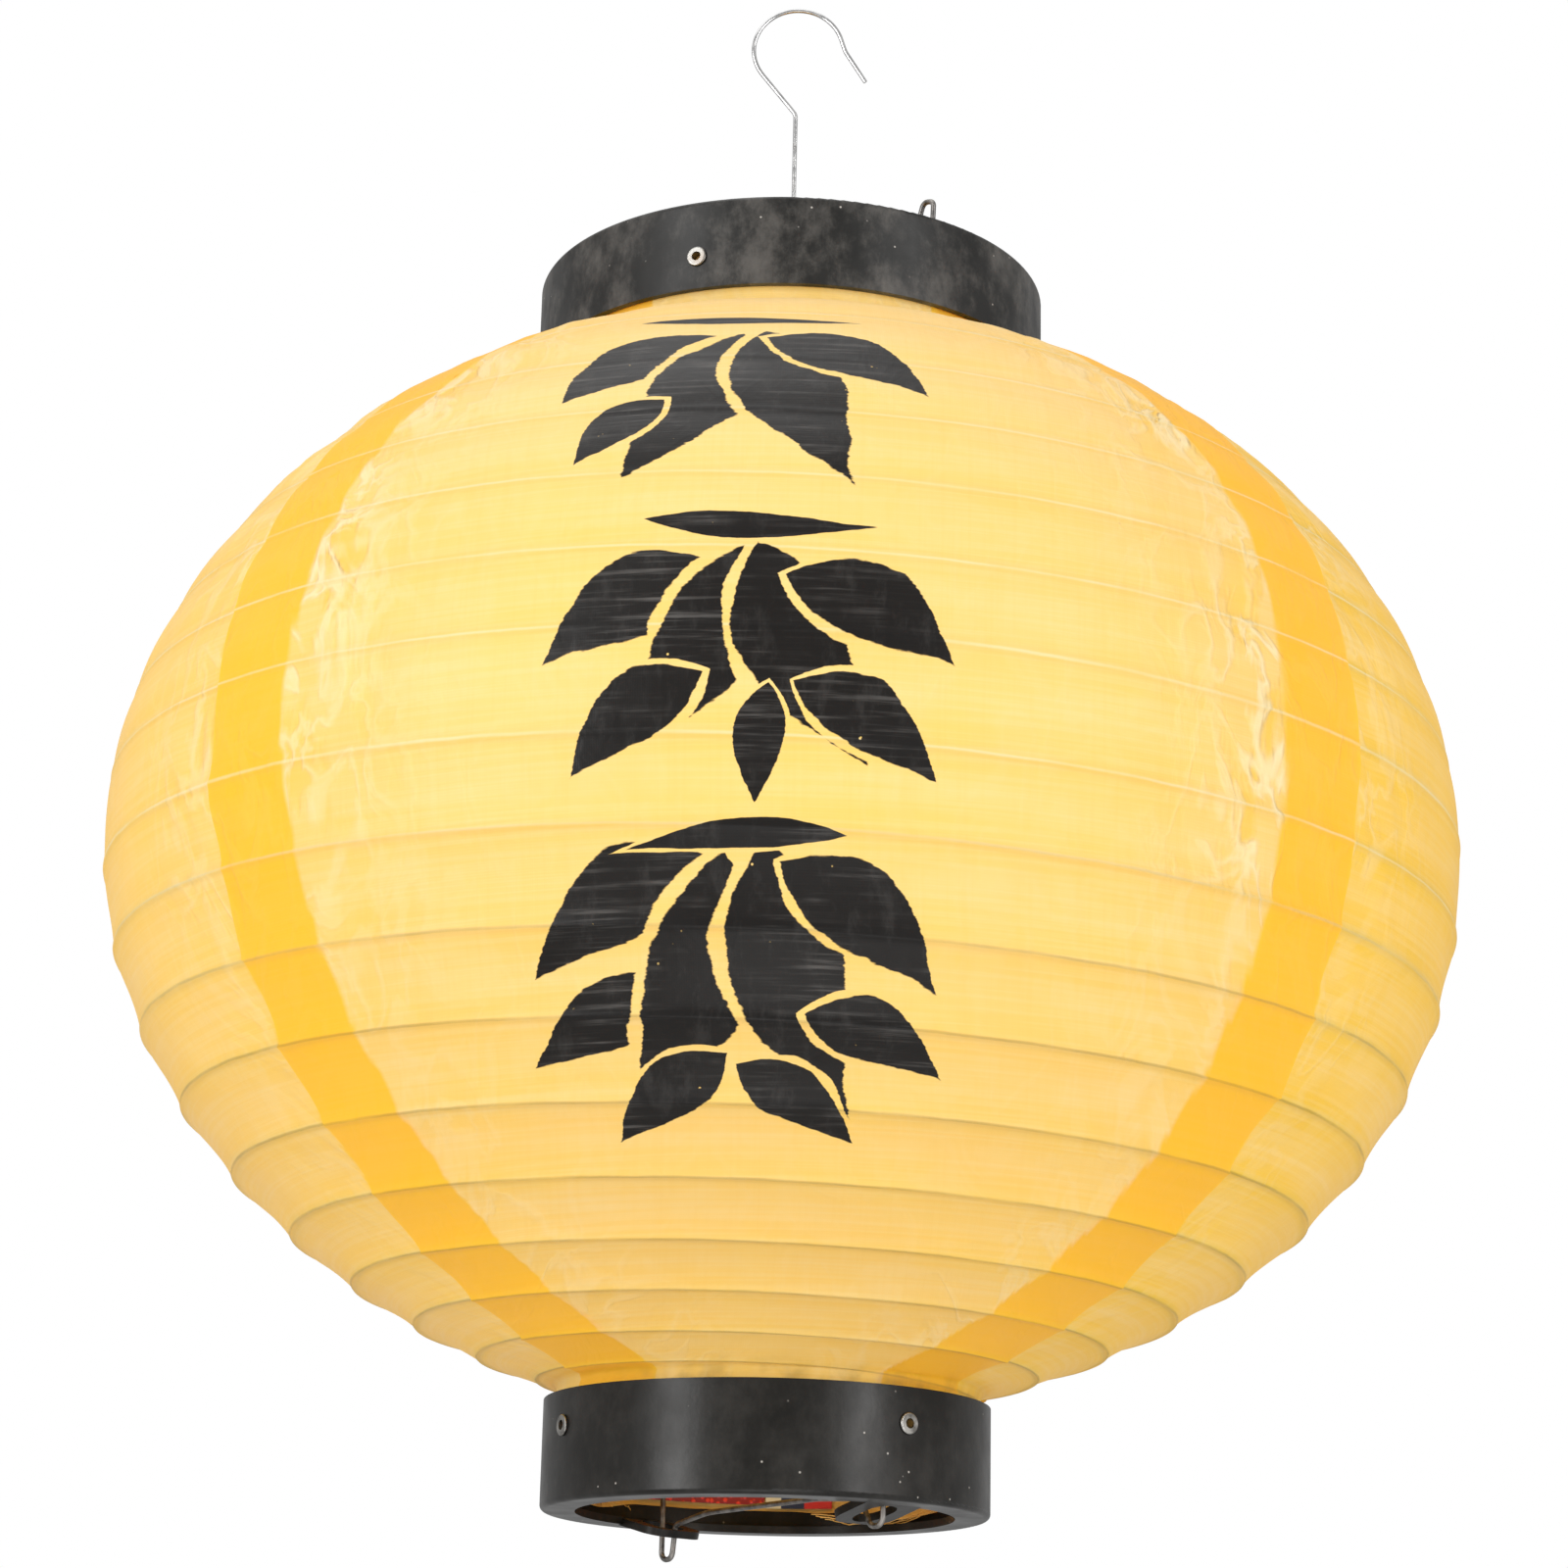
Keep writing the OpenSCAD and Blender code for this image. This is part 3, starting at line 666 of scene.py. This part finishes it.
# ---------------------------------------------------------------- the spiral wire
last = 2 * (len(RIB_LEVELS) - 1)
h_line = np.concatenate([np.linspace(j, j + 1, 49)[:-1] for j in range(last)])
half = np.floor(h_line)
theta = np.degrees(np.arccos(1 - 2 * (h_line - half)))
az_line = np.where(half % 2 == 0, theta - 90, theta + 90)
az_last = np.linspace(-90, RIB_END_AZ, 30)
h_line = np.concatenate([h_line, last + start_of_turn(az_last)])
az_line = np.concatenate([az_line, az_last])
rib_path = on_bag(az_line, h_line, CLOTH_STEP + RIB_R + 0.0001)[0]
end_up = rib_path[-1] + np.array([[0.0004, 0, 0.0006], [0.0005, 0, 0.002], [0.0006, -0.001, 0.005],
                                  [0.0004, -0.004, 0.009]])
wire = tube("spiral_wire", np.concatenate([rib_path, end_up]), RIB_R, 8)
wire.data.materials.append(rib_material())

# ---------------------------------------------------------------- hems inside the rings
hem_cloth = hem_material()


def hem(name, node, start, free, flaps, seed):
    """The cloth's edge inside a ring: flat on the wall from start to free, loose beyond."""
    r_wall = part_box(node)[1].x
    az = np.arange(0, 360, 1.0)[None, :]
    a = np.radians(az)
    wavy = sum(np.sin(k * a + seed * k) / k**0.5 for k in (5, 11, 17, 29)) * 0.5
    way = math.copysign(1, free - start)
    loose = 0.0012 + 0.0007 * wavy
    curl = 0.0006 + 0.0003 * wavy
    for at, wide, drop, lean_in in flaps:
        bump = np.exp(-(((az - at + 180) % 360 - 180) / wide) ** 2)
        loose = loose + bump * drop
        curl = curl + bump * lean_in
    s = np.concatenate([np.linspace(0, 1, 8), 1 + np.linspace(0.1, 1, 9)])[:, None]
    out = np.clip(s - 1, 0, 1)
    z = start + (free - start) * np.clip(s, 0, 1) + way * out * loose
    r = r_wall - 0.0001 - curl * out**1.6 - 0.0002 * out * np.sin(23 * a + seed)
    made = grid_object(name, np.stack([r * np.sin(a), -r * np.cos(a), z + 0 * a], -1), closed=True)
    made.data.materials.append(hem_cloth)
    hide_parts(node)
    return made


low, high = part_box("bottom_hem")
bottom_hem = hem("bottom_hem_cloth", "bottom_hem", high.z, low.z - 0.0007,
                 [(133, 15, 0.0032, 0.0042), (118, 7, 0.001, 0.002), (236, 9, 0.0022, 0.002)], 1.3)
low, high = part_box("top_hem")
top_hem = hem("top_hem_cloth", "top_hem", low.z, high.z - 0.001, [(40, 12, 0.001, 0.002)], 2.1)


# ---------------------------------------------------------------- frayed threads
def thread(name, places, shake, seed, radius=0.00013):
    """A loose thread through places given as azimuth, distance from the axis, level."""
    at = np.linspace(0, 1, 28)
    given = np.linspace(0, 1, len(places))
    az, r, z = (np.interp(at, given, [p[k] for p in places]) for k in range(3))
    jitter = np.random.default_rng(seed).normal(0, shake, (28, 2))
    jitter = np.cumsum(jitter, 0) - np.linspace(0, 1, 28)[:, None] * np.cumsum(jitter, 0)[-1]
    a = np.radians(az)
    r, z = r + jitter[:, 0], z + jitter[:, 1]
    made = tube(name, np.stack([r * np.sin(a), -r * np.cos(a), z], -1), radius, 6)
    made.data.materials.append(hem_cloth)
    return made


rng = np.random.default_rng(5)
hem_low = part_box("bottom_hem")[0].z
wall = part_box("bottom_hem")[1].x
threads = []
for k in range(16):
    az = 236 + rng.uniform(-8, 8)
    threads.append(thread(f"frayed_thread_{k:02d}", [
        (az, wall - 0.0012, hem_low - 0.0005),
        (az + rng.uniform(-3, 3), wall - rng.uniform(0.002, 0.004),
         hem_low - rng.uniform(0.001, 0.003)),
        (az + rng.uniform(-7, 7), wall - rng.uniform(0.004, 0.008),
         hem_low - rng.uniform(0.0, 0.0045)),
    ], 0.00025, 100 + k))
for k in range(4):
    threads.append(thread(f"long_thread_{k}", [
        (119 + k, wall - 0.0030, hem_low - 0.0030),
        (136 + k, wall - 0.0066, hem_low - 0.0062 - 0.0002 * k),
        (150, wall - 0.0072 + 0.0004 * k, hem_low - 0.0056 + 0.0003 * k),
        (161 + 1.5 * k, wall - 0.0064, hem_low - 0.0046 + 0.0005 * k)], 0.00016, 200 + k, 0.00018))

# ---------------------------------------------------------------- finishes of the CAD parts
steel = wire_material("hook_wire", rgb(0.50, 0.50, 0.50), rgb(0.70, 0.695, 0.69),
                      rough_low=0.16, rough_high=0.26, rust=0.25, pits=0.0)
dull = wire_material("stretcher_wire", rgb(0.12, 0.115, 0.11), rgb(0.30, 0.28, 0.26),
                     rough_low=0.34, rough_high=0.55, rust=0.55, pits=0.2)
pressed = wire_material("eyelet_metal", rgb(0.17, 0.16, 0.145), rgb(0.36, 0.35, 0.33),
                        rough_low=0.25, rough_high=0.42, rust=0.35, pits=0.1)
finish = {
    "top_ring": plastic_material("ring_plastic_worn", 0.75),
    "bottom_ring": plastic_material("ring_plastic", 0.15),
    "top_eyelets": pressed,
    "bottom_eyelets": pressed,
    "hanging_hook": steel,
    "stretcher_frame": dull,
    "red_tape": tape_material(),
    "paper_label": label_material(),
}
for name, material in finish.items():
    mesh = nodes[name].data
    mesh.materials.clear()
    mesh.materials.append(material)

# ---------------------------------------------------------------- what each piece rides on
for side, made in panels.items():
    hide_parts(f"{side}_panel")
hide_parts("spiral_rib")
for made in [*panels.values(), wire]:
    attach(made, "lantern")
    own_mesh(made)
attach(top_hem, "lantern")
for made in [bottom_hem, *threads]:
    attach(made, "bottom")

# ---------------------------------------------------------------- stage, light, camera
HUNG_AT = 2.6  # height of the lantern's lowest point over the floor
across, along = np.meshgrid(np.linspace(-3, 3, 13), np.linspace(-2, 4, 13))
ground = np.full_like(across, cad_low.z - HUNG_AT)
floor = grid_object("floor", np.stack([across, along, ground], -1))
floor.data.materials.append(floor_material())


def softbox(name, place, toward, size, power):
    lamp = bpy.data.lights.new(name, "AREA")
    lamp.shape = "RECTANGLE"
    lamp.size, lamp.size_y = size
    lamp.energy = power
    made = bpy.data.objects.new(name, lamp)
    made.location = place
    made.rotation_mode = "QUATERNION"
    made.rotation_quaternion = (Vector(toward) - Vector(place)).to_track_quat("-Z", "Y")
    bpy.context.scene.collection.objects.link(made)


centre = (0, 0, BODY_Z)
softbox("strip_left", (-1.30, -1.25, -0.10), centre, (0.40, 1.5), 24)
softbox("strip_right", (1.30, -1.15, -0.10), centre, (0.34, 1.5), 18)
softbox("below", (0.1, -1.0, -1.45), centre, (1.3, 1.0), 8)
softbox("above", (-0.3, -0.2, 1.2), centre, (1.4, 1.4), 9)

# plain white to the camera, softer as a light
ROOM_LIGHT = 0.56
world = bpy.data.worlds.new("studio")
bpy.context.scene.world = world
world.use_nodes = True
sky = world.node_tree
sky.nodes.clear()
path = sky.nodes.new("ShaderNodeLightPath")
seen, lit = sky.nodes.new("ShaderNodeBackground"), sky.nodes.new("ShaderNodeBackground")
seen.inputs[0].default_value, seen.inputs[1].default_value = rgb(1, 1, 1), 1.0
lit.inputs[0].default_value, lit.inputs[1].default_value = rgb(1, 1, 1), ROOM_LIGHT
both = sky.nodes.new("ShaderNodeMixShader")
end = sky.nodes.new("ShaderNodeOutputWorld")
sky.links.new(path.outputs["Is Camera Ray"], both.inputs[0])
sky.links.new(lit.outputs[0], both.inputs[1])
sky.links.new(seen.outputs[0], both.inputs[2])
sky.links.new(both.outputs[0], end.inputs[0])
bpy.context.scene.view_settings.view_transform = "Standard"

# the camera stands low in front of the lantern and looks up at it; angles in radians
PITCH_UP, ROLL, PAN = 0.2905, 0.0217, 0.0009
CAMERA_Y, CAMERA_Z = -1.0535, -0.5737
LENS, SENSOR = 83.83, 36  # millimetres
look = Vector((math.sin(PAN) * math.cos(PITCH_UP), math.cos(PAN) * math.cos(PITCH_UP),
               math.sin(PITCH_UP)))
level = Vector((math.cos(PAN), -math.sin(PAN), 0))
above = level.cross(look)
right = level * math.cos(ROLL) + above * math.sin(ROLL)
upward = -level * math.sin(ROLL) + above * math.cos(ROLL)
camera = bpy.data.objects.new("camera", bpy.data.cameras.new("camera"))
camera.data.lens, camera.data.sensor_width = LENS, SENSOR
camera.data.clip_start, camera.data.clip_end = 0.01, 100
camera.matrix_world = Matrix((
    (right.x, upward.x, -look.x, 0.0),
    (right.y, upward.y, -look.y, CAMERA_Y),
    (right.z, upward.z, -look.z, CAMERA_Z),
    (0, 0, 0, 1)))
bpy.context.scene.collection.objects.link(camera)
bpy.context.scene.camera = camera
